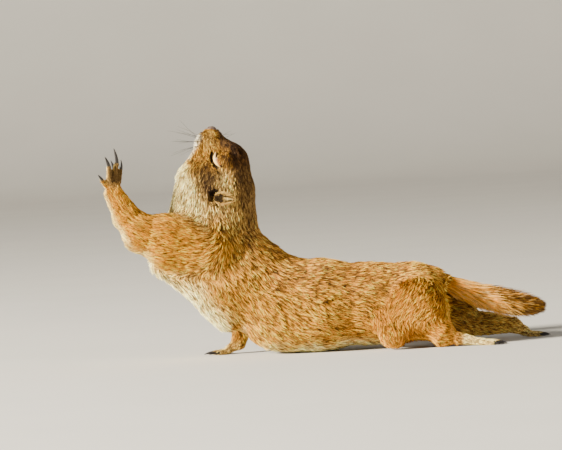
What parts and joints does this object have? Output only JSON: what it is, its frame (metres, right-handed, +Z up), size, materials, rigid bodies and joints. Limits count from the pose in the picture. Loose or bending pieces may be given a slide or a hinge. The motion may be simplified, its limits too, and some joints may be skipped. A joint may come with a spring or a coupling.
{
  "type": "prairie dog",
  "caption": "Life-size still model of a prairie dog stretched on its belly, head thrown back with closed eyes, one hand raised with its claws spread.",
  "frame": {"origin": "on the floor, at the centre of the box round the whole animal", "axes": "+X towards the tip of the tail, -X the way the animal faces, -Y its left side, +Z up"},
  "size_m": [0.376, 0.1084, 0.1966],
  "materials": {
    "coat": "golden cinnamon fur, finely grizzled with black on the back and cream below",
    "coat_pale": "short pale buff fur of the hands, feet and ears",
    "tail_hair": "bristly golden brown hair with a dark brown end",
    "nose_skin": "bare, moist dark skin",
    "claw_horn": "smooth black horn",
    "eye": "wet black eye, seen only through the slit between the lids"
  },
  "bodies": {
    "root": {"claw_foot_left_1": "claw_horn", "claw_foot_left_2": "claw_horn", "claw_foot_left_3": "claw_horn", "claw_foot_left_4": "claw_horn", "claw_foot_left_5": "claw_horn", "claw_foot_right_1": "claw_horn", "claw_foot_right_2": "claw_horn", "claw_foot_right_3": "claw_horn", "claw_foot_right_4": "claw_horn", "claw_foot_right_5": "claw_horn", "claw_hand_left_1": "claw_horn", "claw_hand_left_2": "claw_horn", "claw_hand_left_3": "claw_horn", "claw_hand_left_4": "claw_horn", "claw_hand_left_5": "claw_horn", "claw_hand_right_1": "claw_horn", "claw_hand_right_2": "claw_horn", "claw_hand_right_3": "claw_horn", "claw_hand_right_4": "claw_horn", "claw_hand_right_5": "claw_horn", "ear_left": "coat_pale", "ear_right": "coat_pale", "eye_left": "eye", "eye_right": "eye", "foot_left": "coat_pale", "foot_right": "coat_pale", "forearm_left": "coat_pale", "forearm_right": "coat_pale", "hand_left": "coat_pale", "hand_right": "coat_pale", "head": "coat", "neck": "coat", "nose": "nose_skin", "shank_right": "coat", "tail": "tail_hair", "thigh_left": "coat", "thigh_right": "coat", "torso_front": "coat", "torso_rear": "coat", "upper_arm_left": "coat", "upper_arm_right": "coat"}
  },
  "joints": []
}
